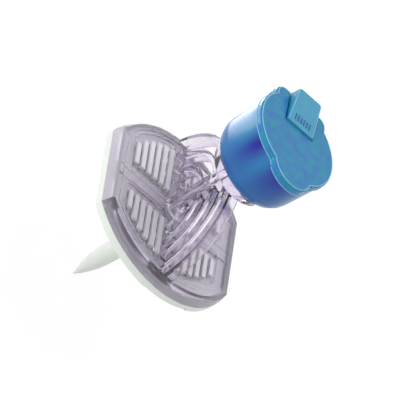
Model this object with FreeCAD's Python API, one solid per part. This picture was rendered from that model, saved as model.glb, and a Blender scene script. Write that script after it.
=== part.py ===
import FreeCAD, Part
import math
import os
from FreeCAD import Vector

# Vented dispensing spike for medicine vials. The origin is on the spike's axis, at the underside
# of the base plate. +Z points up the grip to the cap, the two plate flats face -X and +X, and the
# cap's lid opens towards +Y. The solids are drawn about the grip's axis, which stands a little to
# the -X side of the spike's, and are moved together at the end. All sizes are in millimetres.

# Plate outline, a circle with two flats
plate_apex = 22.0
plate_flat = 18.8
plate_corner = 10.9
base_thickness = 1.85
gate_relief_depth = 0.3
gate_relief_height = 0.9
gate_relief_from = -1.6
gate_relief_to = 10.6

# Spike below the plate
spike_radius = 2.25
spike_length = 26.4
spike_point_length = 10.8
spike_tip_radius = 0.12
spike_offset = 0.65
liquid_lumen_radius = 0.75
air_lumen_radius = 0.5
air_lumen_offset = 1.15
liquid_port_width = 1.1
liquid_port_length = 3.2
liquid_port_depth = 5.2
air_port_width = 0.8
air_port_length = 2.2
air_port_depth = 7.9
lumen_sump = 0.3
point_steps = 5

# Seat of the liquid channel between base and housing
boss_radius = 2.1
boss_height = 2.6
boss_clearance = 0.05
air_groove_width = 1.2
air_groove_depth = 0.7
air_groove_reach = 5.0

# Filter sheet
sheet_thickness = 0.25
sheet_edge_clearance = 0.3
sheet_hole_clearance = 0.25
sheet_seat_width = 1.0
sheet_seat_height = 0.35

# Clear shell over the filter
shell_height = 3.0
shell_flat_lean = 0.65
shell_apex_lean = 1.3
shell_wall = 1.6
shell_cavity_height = 1.15
shell_edge_chamfer = 0.4
rim_width = 1.6
land_drop = 0.5
partition_half_width = 1.5
partition_gap = 0.1

# Vent panels in the four quarters of the shell
panel_depth = 0.7
panel_inner_x = 2.45
panel_outer_x = 14.2
panel_inner_y = 1.75
panel_radius = 18.1
panel_corner_radius = 1.3
vent_centre_y = 0.6
bar_count = 6
bar_first_x = 3.1
bar_pitch = 1.95
bar_width = 1.1
bar_height = 0.75
bar_inner_y = 4.3
bar_radius = 16.2
slot_width = 0.25
slot_end_margin = 0.2

# Finger grip, a web with concentric arched ribs
rib_pitch = 4.1
rib_count = 4
rib_thickness = 1.2
rib_half_width = 2.2
rib_edge_chamfer = 0.3
web_thickness = 1.0
column_radius = 2.85
column_top = 17.2
spine_width = 0.9
spine_height = 0.45
channel_radius = 1.5

# Collar that carries the cap
collar_radius = 7.6
collar_base = 22.9
collar_top = 25.4
collar_chamfer = 0.5
flare_steps = 4

# Female luer connector inside the cap
neck_radius = 4.3
neck_clearance = 0.1
bead_rise = 0.3
bead_height = 0.7
barrel_radius = 3.3
luer_radius = 2.0
luer_depth = 9.0
throat_radius = 1.8
luer_below_rim = 1.1
luer_lug_radius = 3.9
luer_lug_height = 1.3
luer_lug_angle = 70.0
luer_mouth_chamfer = 0.25

# Cap body
cap_foot_radius = 7.65
cap_low_radius = 10.85
cap_low_height = 4.4
cap_rim_radius = 11.1
cap_height = 13.0
cap_wall = 1.2
cap_floor = 1.5
cap_inner_slope = 1.0
cap_foot_steps = 4

# Hinge side of cap and lid
ear_corner_x = 7.4
ear_edge_y = 11.5
ear_root_x = 7.6
ear_root_y = 9.0
ear_round = 2.2
ear_drop = 0.6
ear_slope = 0.7
hinge_reach = 12.2
hinge_half_width = 3.45
hinge_slot = 0.45
hinge_slot_from = 8.0
hinge_lug_height = 2.0

# Lid
lid_gap = 0.1
lid_radius = 11.35
lid_thickness = 1.45
lid_edge_chamfer = 0.35
lip_root_x = 5.6
lip_reach = 14.3
lip_skirt = 0.2
lip_skirt_inner = 12.2
block_inner_y = 3.0
block_inner_half = 3.95
block_inner_rise = 0.45
block_outer_y = 11.8
block_outer_rise = 2.4
block_corner_round = 0.8
block_edge_chamfer = 0.2
block_groove_width = 0.4
block_groove_depth = 0.5
seal_ring_depth = 1.0
seal_ring_wall = 0.9
seal_ring_clearance = 0.25
seal_pad_radius = 3.2
seal_pad_gap = 0.05
seal_pad_chamfer = 0.2

# Derived levels
shell_foot = base_thickness
shell_top = shell_foot + shell_height
land_level = shell_top - land_drop
panel_floor = land_level - panel_depth
cavity_top = shell_foot + shell_cavity_height
rib_outer_radius = plate_apex - shell_apex_lean
cap_foot = collar_top
cap_rim = cap_foot + cap_height
luer_top = cap_rim - luer_below_rim
lid_foot = cap_rim + lid_gap
lid_top = lid_foot + lid_thickness

Z = Vector(0, 0, 1)
X = Vector(1, 0, 0)
axis_point = Vector(0, 0, 0)


def box(x0, x1, y0, y1, z0, z1):
    return Part.makeBox(x1 - x0, y1 - y0, z1 - z0, Vector(x0, y0, z0))


def cylinder(radius, z0, z1, x=0.0, y=0.0):
    return Part.makeCylinder(radius, z1 - z0, Vector(x, y, z0))


def plate_wire(flat, corner, apex, z):
    """Closed outline at height z: two straight flats joined by two arcs."""
    right_low = Vector(flat, -corner, z)
    right_high = Vector(flat, corner, z)
    left_high = Vector(-flat, corner, z)
    left_low = Vector(-flat, -corner, z)
    back = Part.Arc(right_high, Vector(0, apex, z), left_high).toShape()
    front = Part.Arc(left_low, Vector(0, -apex, z), right_low).toShape()
    right = Part.makeLine(right_low, right_high)
    left = Part.makeLine(left_high, left_low)
    return Part.Wire([right, back, left, front])


def plate_solid(inset, z0, z1):
    """Upright plate whose outline is the plate's, moved inwards all round."""
    wire = plate_wire(plate_flat - inset, plate_corner - 0.35 * inset, plate_apex - inset, z0)
    return Part.Face(wire).extrude(Vector(0, 0, z1 - z0))


def edges_at_height(shape, z, tolerance=1e-4):
    """Edges that lie wholly at one height."""
    found = []
    for edge in shape.Edges:
        bounds = edge.BoundBox
        if abs(bounds.ZMin - z) < tolerance and abs(bounds.ZMax - z) < tolerance:
            found.append(edge)
    return found


def revolved(points):
    """Solid of revolution about Z from radius and height pairs."""
    corners = [Vector(r, 0, z) for r, z in points]
    wire = Part.makePolygon(corners + [corners[0]])
    return Part.Face(wire).revolve(axis_point, Z, 360)


def eased(start, end, steps, upright_first):
    """Radius and height pairs on a quarter ellipse between two points of a turned profile."""
    points = []
    for step in range(steps + 1):
        turn = 0.5 * math.pi * step / steps
        rise = math.sin(turn) if upright_first else 1 - math.cos(turn)
        out = 1 - math.cos(turn) if upright_first else math.sin(turn)
        points.append((start[0] + out * (end[0] - start[0]), start[1] + rise * (end[1] - start[1])))
    return points


# Spike with an ogive point, whose arc leaves the shaft without a step
def spike_body():
    shoulder = -(spike_length - spike_point_length)
    drop = spike_radius - spike_tip_radius
    arc_radius = (spike_point_length ** 2 + drop ** 2) / (2 * drop)
    full_turn = math.asin(spike_point_length / arc_radius)
    profile = [(0, 0), (spike_radius, 0)]
    for step in range(point_steps + 1):
        turn = full_turn * step / point_steps
        radius = spike_radius - arc_radius * (1 - math.cos(turn))
        profile.append((radius, shoulder - arc_radius * math.sin(turn)))
    profile.append((0, -spike_length))
    body = revolved(profile)
    body.translate(Vector(spike_offset, 0, 0))
    return body


def side_port(width, length, top, start, direction):
    """Oblong window that opens one lumen to the side of the point."""
    across = Z.cross(direction) * (width / 2)
    upper = start + Z * (top - width / 2)
    lower = start + Z * (top - length + width / 2)
    outline = Part.Wire([
        Part.Arc(upper + across, upper + Z * (width / 2), upper - across).toShape(),
        Part.makeLine(upper - across, lower - across),
        Part.Arc(lower - across, lower - Z * (width / 2), lower + across).toShape(),
        Part.makeLine(lower + across, upper + across),
    ])
    return Part.Face(outline).extrude(direction * (2 * spike_radius))


# Base plate with the spike, the boss of the liquid channel and the seat of the filter sheet
def make_spike_base():
    plate = plate_solid(0.0, 0.0, base_thickness)
    relief_ring = plate_solid(-1.0, -0.1, gate_relief_height).cut(
        plate_solid(gate_relief_depth, -0.2, gate_relief_height + 0.1))
    relief = relief_ring.common(
        box(gate_relief_from, gate_relief_to, -2 * plate_apex, 0, -0.2, gate_relief_height))
    seat_outer = shell_wall + sheet_edge_clearance / 2
    seat = plate_solid(seat_outer, base_thickness, base_thickness + sheet_seat_height).cut(
        plate_solid(seat_outer + sheet_seat_width, base_thickness - 0.1, base_thickness + 1.0))
    boss = cylinder(boss_radius, 0.0, base_thickness + boss_height)
    collar = cylinder(boss_radius + sheet_seat_width, base_thickness,
                      base_thickness + sheet_seat_height)
    base = plate.cut(relief).fuse([seat, collar, boss, spike_body()])
    liquid_end = -(spike_length - liquid_port_depth)
    liquid_top = base_thickness + boss_height + 0.1
    base = base.cut(cylinder(liquid_lumen_radius, liquid_end, liquid_top))
    air_end = -(spike_length - air_port_depth)
    air_top = base_thickness + sheet_seat_height - 0.15
    air_x = spike_offset + air_lumen_offset
    base = base.cut(cylinder(air_lumen_radius, air_end, air_top, air_x))
    base = base.cut(box(air_x, air_groove_reach, -air_groove_width / 2, air_groove_width / 2,
                        air_top - air_groove_depth, air_top))
    liquid_port_top = liquid_end + lumen_sump + liquid_port_length
    base = base.cut(side_port(liquid_port_width, liquid_port_length, liquid_port_top,
                              axis_point, Vector(0, 1, 0)))
    air_port_top = air_end + lumen_sump + air_port_length
    base = base.cut(side_port(air_port_width, air_port_length, air_port_top,
                              Vector(air_x, 0, 0), X))
    return base.removeSplitter()


# Thin filter sheet that lies on its seat and lets only air pass
def make_filter_membrane():
    foot = base_thickness + sheet_seat_height
    inset = shell_wall + sheet_edge_clearance
    sheet = plate_solid(inset, foot, foot + sheet_thickness)
    hole = boss_radius + boss_clearance + column_wall() + sheet_hole_clearance
    return sheet.cut(cylinder(hole, foot - 1, foot + 1))


def column_wall():
    return column_radius - boss_radius - boss_clearance


def panel_face(sx, sy):
    """Rounded outline of one vent panel: two straight sides and one arc."""
    limit = box(panel_inner_x, panel_outer_x, panel_inner_y, 2 * plate_apex, panel_floor, shell_top)
    disc = cylinder(panel_radius, panel_floor, shell_top, 0, sy * vent_centre_y)
    panel = limit.common(disc)
    upright = []
    for edge in panel.Edges:
        bounds = edge.BoundBox
        if bounds.ZLength > 0.9 * (shell_top - panel_floor) and bounds.XLength < 1e-6:
            upright.append(edge)
    panel = panel.makeFillet(panel_corner_radius, upright)
    return mirrored(panel, sx, sy)


def mirrored(shape, sx, sy):
    if sx < 0:
        shape = shape.mirror(axis_point, X)
    if sy < 0:
        shape = shape.mirror(axis_point, Vector(0, 1, 0))
    return shape


def bar_reach(x, sy):
    """Y of the outer end of a bar, on the circle that bounds the vent field."""
    return math.sqrt(max(bar_radius ** 2 - x ** 2, 0.0)) + sy * vent_centre_y


def vent_bars(sx, sy):
    bars = []
    for index in range(bar_count):
        x = bar_first_x + index * bar_pitch
        end = bar_reach(x, sy)
        bar = box(x - bar_width / 2, x + bar_width / 2, bar_inner_y, end,
                  panel_floor - 0.1, panel_floor + bar_height)
        bars.append(mirrored(bar, sx, sy))
    return bars


def vent_slots(sx, sy):
    """Narrow air slot beside each bar, through the floor of the panel."""
    slots = []
    for index in range(bar_count):
        x = bar_first_x + index * bar_pitch + bar_width / 2
        end = bar_reach(x + slot_width, sy) - slot_end_margin
        slot = box(x, x + slot_width, bar_inner_y + slot_end_margin, end,
                   cavity_top - 0.5, panel_floor + 0.2)
        slots.append(mirrored(slot, sx, sy))
    return slots


# Shell of the clear housing, with its rim, sunk land, vent panels and filter chamber
def shell_part():
    foot = plate_wire(plate_flat, plate_corner, plate_apex, shell_foot)
    top = plate_wire(plate_flat - shell_flat_lean, plate_corner, plate_apex - shell_apex_lean,
                     shell_top)
    shell = Part.makeLoft([foot, top], True, True)
    shell = shell.makeChamfer(shell_edge_chamfer, edges_at_height(shell, shell_top))
    land_inset = rim_width + shell_flat_lean
    land_apex = plate_apex - shell_apex_lean - rim_width
    land_wire = plate_wire(plate_flat - land_inset, plate_corner - 0.5 * rim_width, land_apex,
                           land_level)
    land = Part.Face(land_wire).extrude(Vector(0, 0, 2 * land_drop))
    shell = shell.cut(land)
    quarters = [(-1, 1), (-1, -1), (1, -1), (1, 1)]
    shell = shell.cut([panel_face(sx, sy) for sx, sy in quarters])
    bars = []
    slots = []
    for sx, sy in quarters:
        bars += vent_bars(sx, sy)
        slots += vent_slots(sx, sy)
    shell = shell.fuse(bars)
    cavity = plate_solid(shell_wall, shell_foot - 0.1, cavity_top)
    cavity = cavity.cut(cylinder(column_radius, shell_foot - 0.2, cavity_top + 0.1))
    sheet_top = base_thickness + sheet_seat_height + sheet_thickness
    cavity = cavity.cut(box(-plate_flat, plate_flat, -partition_half_width, partition_half_width,
                            sheet_top + partition_gap, cavity_top + 0.1))
    shell = shell.cut(cavity)
    lift = cylinder(column_radius + 0.1, shell_foot - 0.1, sheet_top + partition_gap)
    return shell.cut(lift).cut(slots)


# One arched rib, a bar with bevelled edges turned about the X axis through the plate's middle
def arched_rib(outer_radius):
    inner_radius = outer_radius - rib_thickness
    near = rib_half_width - rib_edge_chamfer
    shoulder = outer_radius - rib_edge_chamfer
    corners = [
        Vector(-rib_half_width, inner_radius, 0),
        Vector(rib_half_width, inner_radius, 0),
        Vector(rib_half_width, shoulder, 0),
        Vector(near, outer_radius, 0),
        Vector(-near, outer_radius, 0),
        Vector(-rib_half_width, shoulder, 0),
    ]
    rib = Part.Face(Part.makePolygon(corners + [corners[0]])).revolve(axis_point, X, 180)
    rib.translate(Vector(0, 0, shell_foot))
    return rib


# Web, arched ribs, column and spine, which a finger and thumb hold
def grip_part():
    reach = rib_outer_radius - rib_thickness / 2
    disc = Part.makeCylinder(reach, web_thickness, Vector(-web_thickness / 2, 0, shell_foot), X)
    grip = disc
    for index in range(rib_count):
        grip = grip.fuse(arched_rib(rib_outer_radius - index * rib_pitch))
    low = panel_floor
    half = 2 * plate_apex
    grip = grip.common(box(-half, half, -half, half, low, half))
    column = cylinder(column_radius, low, collar_base)
    spine_reach = column_radius + spine_height
    spine = box(-spine_reach, spine_reach, -spine_width / 2, spine_width / 2, low, column_top)
    return grip.fuse([column, spine])


def collar_part():
    """Flare from the column to the collar."""
    flare_top = (collar_radius - collar_chamfer, collar_base - collar_chamfer)
    profile = [(0, column_top)]
    profile += eased((column_radius, column_top), flare_top, flare_steps, True)
    profile += [(collar_radius, collar_base), (collar_radius, collar_top), (0, collar_top)]
    return revolved(profile)


def make_clear_housing():
    housing = shell_part().fuse([grip_part(), collar_part()])
    socket_radius = boss_radius + boss_clearance
    socket_top = base_thickness + boss_height + boss_clearance
    housing = housing.cut([
        cylinder(socket_radius, shell_foot - 0.2, socket_top),
        cylinder(channel_radius, socket_top - 0.1, collar_top + 0.1),
    ])
    return housing.removeSplitter()


# Female luer connector, which stands on the collar inside the cap
def make_luer_connector():
    bead_foot = cap_foot + cap_floor + neck_clearance
    bead_radius = neck_radius + bead_rise
    socket_foot = luer_top - luer_depth
    body = revolved([
        (throat_radius, collar_top),
        (neck_radius, collar_top),
        (neck_radius, bead_foot),
        (bead_radius, bead_foot + 0.2),
        (neck_radius - 0.1, bead_foot + bead_height),
        (barrel_radius, bead_foot + bead_height + 0.6),
        (barrel_radius, luer_top),
        (luer_radius + luer_mouth_chamfer, luer_top),
        (luer_radius, luer_top - luer_mouth_chamfer),
        (luer_radius, socket_foot),
        (throat_radius, socket_foot - 0.3),
    ])
    lug = cylinder(luer_lug_radius, luer_top - luer_lug_height, luer_top - 0.2)
    lug = lug.cut(cylinder(0.5 * (barrel_radius + luer_radius), collar_top, luer_top))
    lugs = []
    for turn in (0, 180):
        wedge = Part.makeCylinder(2 * luer_lug_radius, luer_lug_height, Vector(
            0, 0, luer_top - luer_lug_height), Z, luer_lug_angle)
        wedge.rotate(axis_point, Z, turn - luer_lug_angle / 2)
        lugs.append(lug.common(wedge))
    return body.fuse(lugs).removeSplitter()


def ear_face(z):
    """Plan of the two ears and the land between them, on the hinge side."""
    points = [
        Vector(-ear_root_x, ear_root_y, z),
        Vector(-ear_corner_x, ear_edge_y, z),
        Vector(ear_corner_x, ear_edge_y, z),
        Vector(ear_root_x, ear_root_y, z),
        Vector(ear_root_x, 0.5 * ear_root_y, z),
        Vector(-ear_root_x, 0.5 * ear_root_y, z),
    ]
    return Part.Face(Part.makePolygon(points + [points[0]]))


def ear_solid(z0, z1):
    ears = ear_face(z0).extrude(Vector(0, 0, z1 - z0))
    corners = []
    for edge in ears.Edges:
        bounds = edge.BoundBox
        if bounds.ZLength > 0.9 * (z1 - z0) and bounds.YMin > ear_root_y + 0.1:
            corners.append(edge)
    return ears.makeFillet(ear_round, corners)


# Cap body, a round cup that stands on the collar
def make_cap_body():
    low = cap_foot + cap_low_height
    inner = cap_low_radius - cap_wall
    floor = cap_foot + cap_floor
    hole = neck_radius + neck_clearance
    profile = eased((cap_foot_radius, cap_foot), (cap_low_radius, low), cap_foot_steps, False)
    profile += [
        (cap_rim_radius, cap_rim - ear_drop - ear_slope - 0.2),
        (cap_rim_radius, cap_rim),
        (inner, cap_rim),
        (inner, floor + cap_inner_slope),
        (inner - cap_inner_slope, floor),
        (hole, floor),
        (hole, cap_foot),
    ]
    cup = revolved(profile)
    ears = ear_solid(cap_rim - ear_drop - ear_slope, cap_rim)
    chamfer = Part.Face(Part.makePolygon([
        Vector(0, cap_rim_radius - cap_wall, cap_rim - ear_drop - ear_slope),
        Vector(0, ear_edge_y + 0.5, cap_rim - ear_drop),
        Vector(0, ear_edge_y + 0.5, cap_rim - ear_drop - 2 * ear_slope),
        Vector(0, cap_rim_radius - cap_wall, cap_rim - ear_drop - 2 * ear_slope),
        Vector(0, cap_rim_radius - cap_wall, cap_rim - ear_drop - ear_slope),
    ])).extrude(Vector(4 * ear_corner_x, 0, 0))
    chamfer.translate(Vector(-2 * ear_corner_x, 0, 0))
    ears = ears.cut(chamfer)
    slot_inner = hinge_half_width
    slot_outer = hinge_half_width + hinge_slot
    lug = box(-hinge_half_width, hinge_half_width, cap_rim_radius - cap_wall, hinge_reach,
              cap_rim - hinge_lug_height, cap_rim)
    lug = lug.makeFillet(0.5, [
        edge for edge in edges_at_height(lug, cap_rim - hinge_lug_height)
        if edge.BoundBox.YMin > hinge_reach - 0.01])
    gaps = []
    for side_sign in (-1, 1):
        x0 = min(side_sign * slot_inner, side_sign * slot_outer)
        x1 = max(side_sign * slot_inner, side_sign * slot_outer)
        gaps.append(box(x0, x1, cap_rim_radius, 2 * ear_edge_y,
                        cap_rim - ear_drop - 2 * ear_slope, cap_rim + 1))
    ears = ears.cut(gaps).fuse(lug)
    ears = ears.cut(cylinder(cap_low_radius - cap_wall / 2, cap_foot, cap_rim + 1))
    return cup.fuse(ears).removeSplitter()


def block_plan(margin, z):
    """Plan of the hinge block, widened by a margin on its two long sides."""
    return Part.Face(Part.makePolygon([
        Vector(-block_inner_half - margin, block_inner_y, z),
        Vector(block_inner_half + margin, block_inner_y, z),
        Vector(hinge_half_width + margin, hinge_reach, z),
        Vector(-hinge_half_width - margin, hinge_reach, z),
        Vector(-block_inner_half - margin, block_inner_y, z),
    ]))


def hinge_block():
    """Wedge that rises and narrows towards the hinge, where a thumb can push the lid open."""
    side = Part.Face(Part.makePolygon([
        Vector(-block_inner_half, block_inner_y, lid_foot),
        Vector(-block_inner_half, block_inner_y, lid_top + block_inner_rise),
        Vector(-block_inner_half, block_outer_y, lid_top + block_outer_rise),
        Vector(-block_inner_half, hinge_reach, lid_top),
        Vector(-block_inner_half, hinge_reach, lid_foot),
        Vector(-block_inner_half, block_inner_y, lid_foot),
    ]))
    height = lid_thickness + 2 * block_outer_rise
    block = side.extrude(Vector(2 * block_inner_half, 0, 0))
    block = block.common(block_plan(0.0, lid_foot).extrude(Vector(0, 0, height)))
    corners = []
    for edge in block.Edges:
        bounds = edge.BoundBox
        if bounds.YMin > block_outer_y - 0.1 and bounds.XLength < 0.1:
            corners.append(edge)
    block = block.makeFillet(block_corner_round, corners)
    top_edges = []
    for edge in block.Edges:
        if edge.BoundBox.ZMin > lid_top + 0.5 * block_inner_rise:
            top_edges.append(edge)
    return block.makeChamfer(block_edge_chamfer, top_edges)


# Lid with its thumb lip, hinge block, locating ring and the pad that shuts the connector
def make_cap_lid():
    disc = cylinder(lid_radius, lid_foot, lid_top)
    lid = disc.fuse(ear_solid(lid_foot, lid_top))
    lip_y = math.sqrt(lid_radius ** 2 - lip_root_x ** 2)
    lip_arc = Part.Arc(
        Vector(-lip_root_x, -lip_y, lid_foot),
        Vector(0, -lip_reach, lid_foot),
        Vector(lip_root_x, -lip_y, lid_foot),
    ).toShape()
    lip_chord = Part.makeLine(Vector(lip_root_x, -lip_y, lid_foot),
                              Vector(-lip_root_x, -lip_y, lid_foot))
    lip_face = Part.Face(Part.Wire([lip_arc, lip_chord]))
    lid = lid.fuse(lip_face.extrude(Vector(0, 0, lid_thickness))).removeSplitter()
    lid = lid.makeChamfer(lid_edge_chamfer, edges_at_height(lid, lid_top))
    skirt = lip_face.extrude(Vector(0, 0, -lip_skirt))
    skirt = skirt.cut(cylinder(lip_skirt_inner, lid_foot - 2 * lip_skirt, lid_foot + 1))
    lid = lid.fuse(skirt)
    for side_sign in (-1, 1):
        near = side_sign * hinge_half_width
        far = side_sign * (hinge_half_width + hinge_slot)
        lid = lid.cut(box(min(near, far), max(near, far), hinge_slot_from, 2 * ear_edge_y,
                          lid_foot - 1, lid_top + 1))
    grooves = block_plan(block_groove_width, lid_top - block_groove_depth)
    lid = lid.cut(grooves.extrude(Vector(0, 0, 2 * block_groove_depth)))
    ring_radius = cap_low_radius - cap_wall - seal_ring_clearance
    ring = cylinder(ring_radius, lid_foot - seal_ring_depth, lid_foot).cut(
        cylinder(ring_radius - seal_ring_wall, lid_foot - 2 * seal_ring_depth, lid_foot + 1))
    pad = cylinder(seal_pad_radius, luer_top + seal_pad_gap, lid_foot)
    pad = pad.makeChamfer(seal_pad_chamfer, edges_at_height(pad, luer_top + seal_pad_gap))
    return lid.fuse([hinge_block(), ring, pad]).removeSplitter()


os.makedirs("parts", exist_ok=True)
nodes = {
    "spike_base": make_spike_base,
    "filter_membrane": make_filter_membrane,
    "clear_housing": make_clear_housing,
    "luer_connector": make_luer_connector,
    "cap_body": make_cap_body,
    "cap_lid": make_cap_lid,
}
for name, make in nodes.items():
    shape = make()
    if shape.ShapeType == "Compound" and len(shape.Solids) == 1:
        shape = shape.Solids[0]
    shape.translate(Vector(-spike_offset, 0, 0))
    shape.exportStep("parts/" + name + ".step")
    print(name, "solids", len(shape.Solids), "valid", shape.isValid(),
          "volume", round(shape.Volume, 1))
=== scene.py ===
import math
import bmesh
import bpy
from mathutils import Euler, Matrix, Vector


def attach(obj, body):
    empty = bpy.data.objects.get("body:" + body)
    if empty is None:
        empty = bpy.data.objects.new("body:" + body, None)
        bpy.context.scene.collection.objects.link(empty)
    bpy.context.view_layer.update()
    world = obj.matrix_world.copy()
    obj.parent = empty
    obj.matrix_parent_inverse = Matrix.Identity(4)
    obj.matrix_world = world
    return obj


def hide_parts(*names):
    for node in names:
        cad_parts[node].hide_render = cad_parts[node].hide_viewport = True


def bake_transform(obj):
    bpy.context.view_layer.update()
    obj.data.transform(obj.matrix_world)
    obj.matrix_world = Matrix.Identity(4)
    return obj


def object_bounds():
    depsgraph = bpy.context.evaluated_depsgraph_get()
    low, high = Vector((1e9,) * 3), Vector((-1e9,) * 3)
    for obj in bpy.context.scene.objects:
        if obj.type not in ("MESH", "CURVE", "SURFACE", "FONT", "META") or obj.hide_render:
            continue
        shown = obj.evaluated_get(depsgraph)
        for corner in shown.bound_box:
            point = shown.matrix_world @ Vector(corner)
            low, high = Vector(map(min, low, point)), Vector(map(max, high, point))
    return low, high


# Vented dispensing spike for medicine vials: a white plate with its hollow spike, a clear
# housing with a ribbed finger grip, and a blue cap whose lid opens over the connector.
# All sizes are in metres, in the frame of the solids: +Z runs up the grip to the cap.
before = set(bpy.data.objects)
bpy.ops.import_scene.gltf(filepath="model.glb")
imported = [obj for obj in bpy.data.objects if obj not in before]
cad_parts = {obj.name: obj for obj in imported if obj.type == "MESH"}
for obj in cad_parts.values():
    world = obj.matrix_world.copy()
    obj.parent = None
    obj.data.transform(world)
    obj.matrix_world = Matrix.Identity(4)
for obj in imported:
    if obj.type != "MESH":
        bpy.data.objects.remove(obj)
solid_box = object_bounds()

# Spike and base plate
# One piece of white ABS, moulded through an edge gate on the plate. The wall is thin, so a
# little light passes through it and the white looks milky, most of all at the point.


def plastic_colour(hex_code):
    """Linear colour from an sRGB hex value."""
    parts = []
    for start in (0, 2, 4):
        value = int(hex_code[start:start + 2], 16) / 255
        parts.append(value / 12.92 if value <= 0.04045 else ((value + 0.055) / 1.055) ** 2.4)
    return (*parts, 1.0)


def new_plastic(name):
    """Material with an empty node tree, ready for its own nodes."""
    material = bpy.data.materials.new(name)
    material.use_nodes = True
    material.node_tree.nodes.clear()
    return material


def add_node(owner, kind, inputs=None, **settings):
    """Add one node to a material or world; an input is given a value or the output that feeds it."""
    tree = owner.node_tree
    node = tree.nodes.new("ShaderNode" + kind)
    for name, value in settings.items():
        setattr(node, name, value)
    for name, value in (inputs or {}).items():
        if isinstance(value, bpy.types.NodeSocket):
            tree.links.new(value, node.inputs[name])
        else:
            node.inputs[name].default_value = value
    return node


def dress(node_name, material):
    """Give a solid of the frame its material."""
    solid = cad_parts[node_name]
    solid.data.materials.clear()
    solid.data.materials.append(material)


# Moulded ABS: milk white with a faint green cast, satin, with soft flow marks a few
# millimetres wide and the fine grain of a spark-eroded tool.
white_abs = new_plastic("moulded_white_abs")
place = add_node(white_abs, "TexCoord").outputs["Object"]
flow = add_node(white_abs, "TexNoise", {"Vector": place, "Scale": 160.0, "Detail": 2.0,
                                        "Roughness": 0.4, "Distortion": 0.6})
white = add_node(white_abs, "MixRGB", {"Fac": flow.outputs["Fac"],
                                       "Color1": plastic_colour("E2E9E1"),
                                       "Color2": plastic_colour("EBF0EA")})
grain = add_node(white_abs, "TexNoise", {"Vector": place, "Scale": 5000.0, "Detail": 1.0})
relief = add_node(white_abs, "Bump", {"Height": grain.outputs["Fac"], "Strength": 0.15,
                                      "Distance": 0.00003})
surface = add_node(white_abs, "BsdfPrincipled", {
    "Base Color": white.outputs["Color"],
    "Normal": relief.outputs["Normal"],
    "Roughness": 0.35,
    "IOR": 1.53,
    "Subsurface Weight": 0.35,
    "Subsurface Radius": (0.9, 1.0, 0.8),
    "Subsurface Scale": 0.0012,
})
add_node(white_abs, "OutputMaterial", {"Surface": surface.outputs["BSDF"]})
dress("spike_base", white_abs)

# Filter sheet
# A thin disc of white nonwoven under the vent slots, laid on its seat in the plate and
# pressed along its edge. It lets air in and holds drops back.
# Nonwoven membrane: dead white and matt, with a felt of fibres drawn 0.15 mm wide.
nonwoven = new_plastic("nonwoven_filter_membrane")
place = add_node(nonwoven, "TexCoord").outputs["Object"]
fibres = add_node(nonwoven, "TexVoronoi", {"Vector": place, "Scale": 6500.0}, feature="F1")
fibre_white = add_node(nonwoven, "MixRGB", {"Fac": fibres.outputs["Distance"],
                                            "Color1": plastic_colour("FAFAF8"),
                                            "Color2": plastic_colour("EFEEEA")})
felt = add_node(nonwoven, "Bump", {"Height": fibres.outputs["Distance"], "Strength": 0.4,
                                   "Distance": 0.00005})
surface = add_node(nonwoven, "BsdfPrincipled", {
    "Base Color": fibre_white.outputs["Color"],
    "Normal": felt.outputs["Normal"],
    "Roughness": 0.9,
    "IOR": 1.5,
})
add_node(nonwoven, "OutputMaterial", {"Surface": surface.outputs["BSDF"]})
dress("filter_membrane", nonwoven)

# Clear housing
# One piece of transparent plastic: the shell over the filter, the ribbed finger grip, the
# collar and the luer connector. It is welded to the white plate all round its edge.
# Moulded transparent MABS: clear with a violet-grey cast, glossy, and slightly hazy where the
# wall is thick, with faint ripples a few millimetres wide.


def clear_mabs_finish(name, dull, bright, roughness, transmission, grain_scale, grain_strength):
    """Clear plastic in one finish; the grain scale is one over the grain's size in metres."""
    material = new_plastic(name)
    place = add_node(material, "TexCoord").outputs["Object"]
    haze = add_node(material, "TexNoise", {"Vector": place, "Scale": 220.0, "Detail": 3.0,
                                           "Roughness": 0.5})
    tint = add_node(material, "MixRGB", {"Fac": haze.outputs["Fac"],
                                         "Color1": plastic_colour(dull),
                                         "Color2": plastic_colour(bright)})
    rounded = add_node(material, "Bevel", {"Radius": 0.0001}, samples=4)
    ripple = add_node(material, "Bump", {"Height": haze.outputs["Fac"], "Strength": 0.15,
                                         "Distance": 0.00004,
                                         "Normal": rounded.outputs["Normal"]})
    grain = add_node(material, "TexNoise", {"Vector": place, "Scale": grain_scale, "Detail": 2.0})
    pitted = add_node(material, "Bump", {"Height": grain.outputs["Fac"],
                                         "Strength": grain_strength, "Distance": 0.00003,
                                         "Normal": ripple.outputs["Normal"]})
    surface = add_node(material, "BsdfPrincipled", {
        "Base Color": tint.outputs["Color"],
        "Normal": pitted.outputs["Normal"],
        "Roughness": roughness,
        "IOR": 1.54,
        "Transmission Weight": transmission,
    })
    smoke = add_node(material, "VolumeAbsorption", {"Color": plastic_colour("CAB5E1"),
                                                    "Density": 50.0})
    add_node(material, "OutputMaterial", {"Surface": surface.outputs["BSDF"],
                                          "Volume": smoke.outputs["Volume"]})
    return material


# Most of the part is polished. The vent bars keep the matt face of the spark-eroded tool,
# scatter the light and read paler. The sloping rim has a coarser grain that blurs what is
# behind, and its two flat sides are duller still: even, pale and half see-through.
clear_mabs = clear_mabs_finish("polished_clear_mabs", "F9F5FE", "FDFAFF", 0.06, 0.98, 5000.0, 0.02)
frosted_mabs = clear_mabs_finish("spark_eroded_clear_mabs", "F6F1FC", "FDFBFF", 0.45, 0.16,
                                 7000.0, 0.2)
grained_mabs = clear_mabs_finish("grained_clear_mabs", "F1EAF8", "FCF8FF", 0.34, 0.95,
                                 2400.0, 1.0)
dulled_mabs = clear_mabs_finish("dulled_clear_mabs", "E6E0EE", "ECE6F4", 0.35, 0.6, 5000.0, 0.1)


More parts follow.
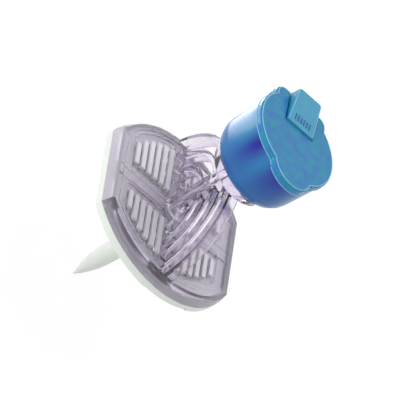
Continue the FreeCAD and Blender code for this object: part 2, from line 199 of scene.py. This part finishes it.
def mesh_piece(name, shape, materials, body, smooth_angle):
    """Turn a finished bmesh into a piece that rides on a body, if one is named."""
    piece = bpy.data.objects.new(name, bpy.data.meshes.new(name))
    shape.to_mesh(piece.data)
    shape.free()
    piece.data.shade_smooth()
    piece.data.set_sharp_from_angle(angle=math.radians(smooth_angle))
    for material in materials:
        piece.data.materials.append(material)
    bpy.context.collection.objects.link(piece)
    if body:
        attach(piece, body)
    return piece


# The shell is a merged copy of the solid that keeps the solid's own normals, so flats stay flat
# and fillets smooth. The weld melts its foot a hair into the plate, so no air is left between
# the two and the white shows through the wall.
merge_distance = 1e-6
weld_level = 0.00185
weld_depth = 0.00003
panel_level = 0.00365
bar_top_level = 0.00440
shell_top_level = 0.00485
rim_inner_radius = 0.0175
grip_axis = Vector((-0.00065, 0.0, 0.0))
finishes = (clear_mabs, frosted_mabs, grained_mabs, dulled_mabs)
solid_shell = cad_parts["clear_housing"].data
own_normals = [corner.vector.copy() for corner in solid_shell.corner_normals]
shell = bmesh.new()
shell.from_mesh(solid_shell)
bmesh.ops.remove_doubles(shell, verts=shell.verts, dist=merge_distance)
for vert in shell.verts:
    if abs(vert.co.z - weld_level) < merge_distance:
        vert.co.z -= weld_depth

# Each face gets its finish by its place. On the rim, a normal with some X in it and hardly any
# Y belongs to a flat side, and any other that points outward belongs to the slope.
for face in shell.faces:
    face_foot = min(vert.co.z for vert in face.verts)
    face_top = max(vert.co.z for vert in face.verts)
    centre = face.calc_center_median() - grip_axis
    outward = face.normal.dot(centre.xy.normalized().to_3d())
    on_bar = abs(face_top - bar_top_level) < merge_distance
    on_rim = centre.xy.length > rim_inner_radius and face_top < shell_top_level + merge_distance
    on_flat_side = abs(face.normal.x) > 0.1 and abs(face.normal.y) < 0.3
    if on_bar and face_foot > panel_level - merge_distance:
        face.material_index = finishes.index(frosted_mabs)
    if on_rim and on_flat_side and outward > 0.1:
        face.material_index = finishes.index(dulled_mabs)
    elif on_rim and outward > 0.5:
        face.material_index = finishes.index(grained_mabs)
clear_shell = mesh_piece("clear_shell", shell, finishes, "housing", 26.0)
clear_shell.data.normals_split_custom_set(own_normals)
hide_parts("clear_housing")
dress("luer_connector", clear_mabs)

# Cap and lid
# A round cup on the collar and the lid hinged to it, both moulded in blue polypropylene. The
# lid is closed by its lip, and turns up on the living hinge beside the block.
# Moulded polypropylene: mid blue, semi-gloss, a little translucent at its thin edges.


def blue_polypropylene(name, place_colour):
    """Satin blue plastic; the colour is built from the piece's own coordinates."""
    material = new_plastic(name)
    place = add_node(material, "TexCoord").outputs["Object"]
    grain = add_node(material, "TexNoise", {"Vector": place, "Scale": 4200.0, "Detail": 1.0})
    relief = add_node(material, "Bump", {"Height": grain.outputs["Fac"], "Strength": 0.12,
                                         "Distance": 0.00003})
    rounded = add_node(material, "Bevel", {"Radius": 0.0002, "Normal": relief.outputs["Normal"]},
                       samples=4)
    surface = add_node(material, "BsdfPrincipled", {
        "Base Color": place_colour(material, place),
        "Normal": rounded.outputs["Normal"],
        "Roughness": 0.22,
        "IOR": 1.49,
        "Specular IOR Level": 0.3,
        "Subsurface Weight": 0.1,
        "Subsurface Radius": (0.2, 0.5, 1.0),
        "Subsurface Scale": 0.0008,
    })
    add_node(material, "OutputMaterial", {"Surface": surface.outputs["BSDF"]})
    return material


def wall_painted_reflections(material, place):
    """Painted reflections and shade on the cup's wall: lighter teal and darker violet bands round
    its axis, strongest near the lid.
    """
    centred = add_node(material, "Mapping", {"Vector": place, "Location": -grip_axis})
    around = add_node(material, "TexGradient", {"Vector": centred.outputs["Vector"]},
                      gradient_type="RADIAL")
    painted_bands = add_node(material, "ValToRGB", {"Fac": around.outputs["Fac"]})
    # Painted reflections and shade: each stop is the wall's colour at one turn round the axis, teal
    # where light is reflected and violet where it is shaded.
    painted_band_colours = ((0.0, "3080B0"), (0.06, "2C80B2"), (0.10, "1E2C98"), (0.133, "2850A4"),
              (0.167, "2A7EBA"), (0.20, "2A5AAC"), (0.235, "2238A4"), (0.27, "203CA4"),
              (0.30, "244EA4"), (0.333, "1A6CAC"), (0.38, "247CBA"), (0.48, "2862AC"),
              (0.62, "2678B4"), (0.78, "20409C"), (0.94, "2678B4"))
    ramp = painted_bands.color_ramp
    ramp.interpolation = "CARDINAL"
    while len(ramp.elements) < len(painted_band_colours):
        ramp.elements.new(0.5)
    for stop, (position, shade) in zip(ramp.elements, painted_band_colours):
        stop.position = position
        stop.color = plastic_colour(shade)
    height = add_node(material, "SeparateXYZ", {"Vector": place})
    # Lower down the painted bands fade into one plain blue.
    depth = add_node(material, "MapRange", {"Value": height.outputs["Z"], "From Min": 0.030,
                                            "From Max": 0.0365, "To Min": 0.2, "To Max": 1.0})
    wall = add_node(material, "MixRGB", {"Fac": depth.outputs["Result"],
                                         "Color1": plastic_colour("286CAC"),
                                         "Color2": painted_bands.outputs["Color"]})
    return wall.outputs["Color"]


def cloudy_lid(material, place):
    """Two close blues in soft clouds 2 mm wide, with a painted highlight that makes the hinge
    block's sloping face paler.
    """
    flow = add_node(material, "TexNoise", {"Vector": place, "Scale": 480.0, "Detail": 3.0,
                                           "Roughness": 0.6})
    cloud = add_node(material, "MapRange", {"Value": flow.outputs["Fac"], "From Min": 0.33,
                                            "From Max": 0.67})
    blue = add_node(material, "MixRGB", {"Fac": cloud.outputs["Result"],
                                         "Color1": plastic_colour("1C90AE"),
                                         "Color2": plastic_colour("2E74BA")})
    height = add_node(material, "SeparateXYZ", {"Vector": place})
    # Painted highlight: the raised hinge block is mixed toward a paler blue, as if its sloping face
    # caught more light.
    block_painted_highlight = add_node(material, "MapRange", {"Value": height.outputs["Z"],
                                               "From Min": 0.0401, "From Max": 0.0404,
                                               "To Max": 0.6})
    shade = add_node(material, "MixRGB", {"Fac": block_painted_highlight.outputs["Result"],
                                          "Color1": blue.outputs["Color"],
                                          "Color2": plastic_colour("52AAC6")})
    return shade.outputs["Color"]


cap_blue = blue_polypropylene("moulded_blue_polypropylene", wall_painted_reflections)
lid_blue = blue_polypropylene("moulded_blue_polypropylene_lid", cloudy_lid)
dress("cap_body", cap_blue)
dress("cap_lid", lid_blue)

# Beads of the lid
# Fine round beads run along the edge of the lid's face, the foot of its band and the hinge
# block, in a paler blue: they are painted highlights, standing in for the light these edges catch.


def mottled(dull, bright):
    """Colour of a small part: two close blues in soft spots 2 mm wide."""
    def place_colour(material, place):
        spots = add_node(material, "TexNoise", {"Vector": place, "Scale": 500.0, "Detail": 1.0})
        blue = add_node(material, "MixRGB", {"Fac": spots.outputs["Fac"],
                                             "Color1": plastic_colour(dull),
                                             "Color2": plastic_colour(bright)})
        return blue.outputs["Color"]
    return place_colour


# Painted highlight: pale blues for the beads, lighter than the lid.
painted_highlight_blue = blue_polypropylene("painted_highlight_blue_polypropylene", mottled("79BCE0", "93CDEA"))
bead_radius = 0.00011


def bead_along(name, edges):
    """Round bead along chains of edges of the lid, as a piece that rides on it."""
    line = bpy.data.curves.new(name, "CURVE")
    line.dimensions = "3D"
    line.bevel_depth = bead_radius
    line.bevel_resolution = 2
    line.use_fill_caps = True
    left = {edge.index: edge for edge in edges}
    while left:
        run = list(left.pop(min(left)).verts)
        joined = True
        while joined:
            joined = False
            for index in sorted(left):
                ends = left[index].verts
                if run[-1] in ends:
                    run.append(left.pop(index).other_vert(run[-1]))
                    joined = True
                elif run[0] in ends:
                    run.insert(0, left.pop(index).other_vert(run[0]))
                    joined = True
        spline = line.splines.new("POLY")
        if run[0] == run[-1]:
            run.pop()
            spline.use_cyclic_u = True
        spline.points.add(len(run) - 1)
        for point, vert in zip(spline.points, run):
            point.co = (*vert.co, 1.0)
    guide = bpy.data.objects.new(name + "_guide", line)
    bpy.context.collection.objects.link(guide)
    bead = bmesh.new()
    bead.from_mesh(bpy.data.meshes.new_from_object(guide))
    bpy.data.objects.remove(guide)
    return mesh_piece(name, bead, (painted_highlight_blue,), "lid", 50.0)


# The edges are found by their height, their distance from the cap's axis, and how far up the
# two faces beside them look: 1 is level, 0 is a wall and -1 looks down.
lid_top_level = 0.03995
lid_foot_level = 0.0385
skirt_level = 0.0383
skirt_inner_radius = 0.0122
band_inner_radius = 0.0112
block_foot_height = 0.0003
lid_form = bmesh.new()
lid_form.from_mesh(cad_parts["cap_lid"].data)
bmesh.ops.remove_doubles(lid_form, verts=lid_form.verts, dist=merge_distance)
lid_form.normal_update()
face_edges = []
foot_edges = []
block_edges = []
for edge in lid_form.edges:
    least_up, most_up = sorted(face.normal.z for face in edge.link_faces)
    low, high = sorted(vert.co.z for vert in edge.verts)
    reach = min((vert.co - grip_axis).xy.length for vert in edge.verts)
    is_level = high - low < merge_distance
    on_top = abs(low - lid_top_level) < merge_distance
    on_foot = abs(low - lid_foot_level) < merge_distance
    on_skirt = abs(low - skirt_level) < merge_distance and reach > skirt_inner_radius + 0.00005
    if is_level and on_top and most_up > 0.99 and 0.5 < least_up < 0.9:
        face_edges.append(edge)
    past_rim = reach > band_inner_radius and (on_foot or on_skirt)
    if is_level and past_rim and least_up < -0.9 and abs(most_up) < 0.3:
        foot_edges.append(edge)
    if low > lid_top_level + block_foot_height and 0.96 < most_up < 0.985 and least_up < 0.95:
        block_edges.append(edge)
bead_along("lid_face_bead", face_edges)
bead_along("lid_foot_bead", foot_edges)
bead_along("hinge_block_bead", block_edges)
lid_form.free()

# Ridges on the hinge block
# Six low ridges across the inner end of the wedge, where the thumb pushes. They are moulded
# with the lid, in the same plastic, and are coloured a deeper blue as painted shade, so they read as
# dark marks.
ridge_count = 6
ridge_pitch = 0.00085
ridge_size = (0.00032, 0.0015, 0.0003)
ridge_round = 0.00008
ridge_middle_y = 0.0049
block_inner_y = 0.003
block_inner_height = 0.00045
block_rise = 0.00195
block_run = 0.0088
block_slope = math.atan2(block_rise, block_run)
block_level = (lid_top_level + block_inner_height
               + math.tan(block_slope) * (ridge_middle_y - block_inner_y))
# Painted shade: deeper blues for the ridges than for the lid.
ridge_painted_shade_blue = blue_polypropylene("ridge_painted_shade_blue_polypropylene", mottled("1A5C9A", "206EA8"))
ridges = bmesh.new()
for index in range(ridge_count):
    ridge = bmesh.ops.create_cube(ridges, size=1.0)["verts"]
    bmesh.ops.scale(ridges, verts=ridge, vec=ridge_size)
    bmesh.ops.rotate(ridges, verts=ridge, cent=(0, 0, 0),
                     matrix=Euler((block_slope, 0, 0)).to_matrix())
    across = grip_axis.x + (index - (ridge_count - 1) / 2) * ridge_pitch
    bmesh.ops.translate(ridges, verts=ridge, vec=(across, ridge_middle_y, block_level))
bmesh.ops.bevel(ridges, geom=ridges.edges, offset=ridge_round, affect="EDGES", segments=2,
                profile=0.5, material=-1)
mesh_piece("thumb_ridges", ridges, (ridge_painted_shade_blue,), "lid", 40.0)

# Living hinge
# A thin web of the same plastic joins cup and lid under the block; on the real part it folds as the
# lid opens, but here it is built as a straight web.
# It is moulded with them in one shot, in the cup's blue.
film_half_width = 0.0034
film_thickness = 0.00022
film_height = 0.0009
hinge_line = Vector((grip_axis.x, 0.0122, 0.03845))
film = bmesh.new()
bmesh.ops.create_cube(film, size=1.0)
bmesh.ops.scale(film, verts=film.verts, vec=(2 * film_half_width, film_thickness, film_height))
upright = [edge for edge in film.edges
           if abs(edge.verts[0].co.z - edge.verts[1].co.z) > merge_distance]
bmesh.ops.subdivide_edges(film, edges=upright, cuts=7, use_grid_fill=True)
bmesh.ops.translate(film, verts=film.verts, vec=hinge_line)
living_hinge = mesh_piece("living_hinge", film, (cap_blue,), None, 40.0)
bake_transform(living_hinge)

# Floor
# A plain pale sweep under the point of the spike. The camera sees it near white, and it
# keeps the soft shadow of the part.


def shown_rays(owner):
    """One for rays of the camera, in gloss or through clear plastic, and nought for the rest."""
    path = add_node(owner, "LightPath")
    shown = add_node(owner, "Math", {0: path.outputs["Is Camera Ray"],
                                     1: path.outputs["Is Glossy Ray"]}, operation="MAXIMUM")
    shown = add_node(owner, "Math", {0: shown.outputs["Value"],
                                     1: path.outputs["Is Transmission Ray"]}, operation="MAXIMUM")
    return shown.outputs["Value"]


floor_level = solid_box[0].z
floor_mesh = bmesh.new()
bmesh.ops.create_grid(floor_mesh, x_segments=1, y_segments=1, size=6.0)
bmesh.ops.translate(floor_mesh, verts=floor_mesh.verts, vec=(0, 0, floor_level))
floor = bpy.data.objects.new("floor", bpy.data.meshes.new("floor"))
floor_mesh.to_mesh(floor.data)
floor_mesh.free()
bpy.context.collection.objects.link(floor)
pale = new_plastic("pale_studio_floor")
paint = add_node(pale, "BsdfDiffuse", {"Color": plastic_colour("F4F4F4")})
lift = add_node(pale, "Emission", {"Color": (1, 1, 1, 1), "Strength": 1.1})
lifted = add_node(pale, "MixShader", {"Fac": 0.75, 1: paint.outputs["BSDF"],
                                      2: lift.outputs["Emission"]})
chosen = add_node(pale, "MixShader", {"Fac": shown_rays(pale), 1: paint.outputs["BSDF"],
                                      2: lifted.outputs["Shader"]})
add_node(pale, "OutputMaterial", {"Surface": chosen.outputs["Shader"]})
floor.data.materials.append(pale)

# Room
# An even white room lights the part from all round at a plain level. Where the room itself is
# seen, straight, in gloss or through the clear plastic, it is white.
world = bpy.data.worlds.new("white_room")
bpy.context.scene.world = world
world.use_nodes = True
world.node_tree.nodes.clear()
room = add_node(world, "Background", {"Color": (1, 1, 1, 1), "Strength": 0.62})
backdrop = add_node(world, "Background", {"Color": (1, 1, 1, 1), "Strength": 1.0})
chosen = add_node(world, "MixShader", {"Fac": shown_rays(world), 1: room.outputs[0],
                                       2: backdrop.outputs[0]})
add_node(world, "OutputWorld", {"Surface": chosen.outputs["Shader"]})

# Camera
# A long lens from high on the left and front, rolled as the part is in the photograph.
camera_data = bpy.data.cameras.new("camera")
camera_data.sensor_width = 36.0
camera_data.lens = 679.8
camera_data.clip_end = 20.0
camera = bpy.data.objects.new("camera", camera_data)
camera.location = (-0.75276, -1.15729, 0.86532)
camera.rotation_euler = Euler([math.radians(angle) for angle in (39.150, -47.270, 9.012)])
bpy.context.collection.objects.link(camera)
bpy.context.scene.camera = camera
toward = camera.rotation_euler.to_matrix() @ Vector((0, 0, 1))
across = camera.rotation_euler.to_matrix() @ Vector((1, 0, 0))
upward = camera.rotation_euler.to_matrix() @ Vector((0, 1, 0))

# Lights
# Three soft boxes: the key on the upper left of the picture, one high behind the part and a
# weak one in front. A low strip shows only in the gloss, as a soft streak down the cup's wall.


def soft_box(name, place, size, power):
    """Square soft box that faces the middle of the part."""
    lamp = bpy.data.lights.new(name, "AREA")
    lamp.shape = "SQUARE"
    lamp.size = size
    lamp.energy = power
    box = bpy.data.objects.new(name, lamp)
    box.location = place
    box.rotation_euler = (Vector((0, 0, 0.01)) - place).to_track_quat("-Z", "Y").to_euler()
    bpy.context.collection.objects.link(box)


strip = bpy.data.lights.new("gloss_strip", "AREA")
strip.shape = "RECTANGLE"
strip.size = 0.1
strip.size_y = 0.014
strip.energy = 0.02
strip_box = bpy.data.objects.new("gloss_strip", strip)
strip_reach = 0.06
strip_turn = math.radians(125)
strip_tilt = math.radians(120)
strip_box.location = (strip_reach * math.cos(strip_turn),
                      strip_reach * math.sin(strip_turn), -0.001)
strip_box.rotation_euler = (strip_tilt, 0, strip_turn + math.radians(90))
strip_box.visible_diffuse = False
strip_box.visible_transmission = False
strip_box.visible_camera = False
bpy.context.collection.objects.link(strip_box)
soft_box("key_box", 0.5 * (0.5 * toward - 0.5 * across + 0.75 * upward), 0.3, 0.75)
soft_box("top_box", Vector((0.1, 0.2, 0.6)), 0.3, 1.0)
soft_box("front_box", 1.0 * toward - 0.3 * across + 0.3 * upward, 0.12, 1.5)

bpy.context.scene.view_settings.view_transform = "Standard"
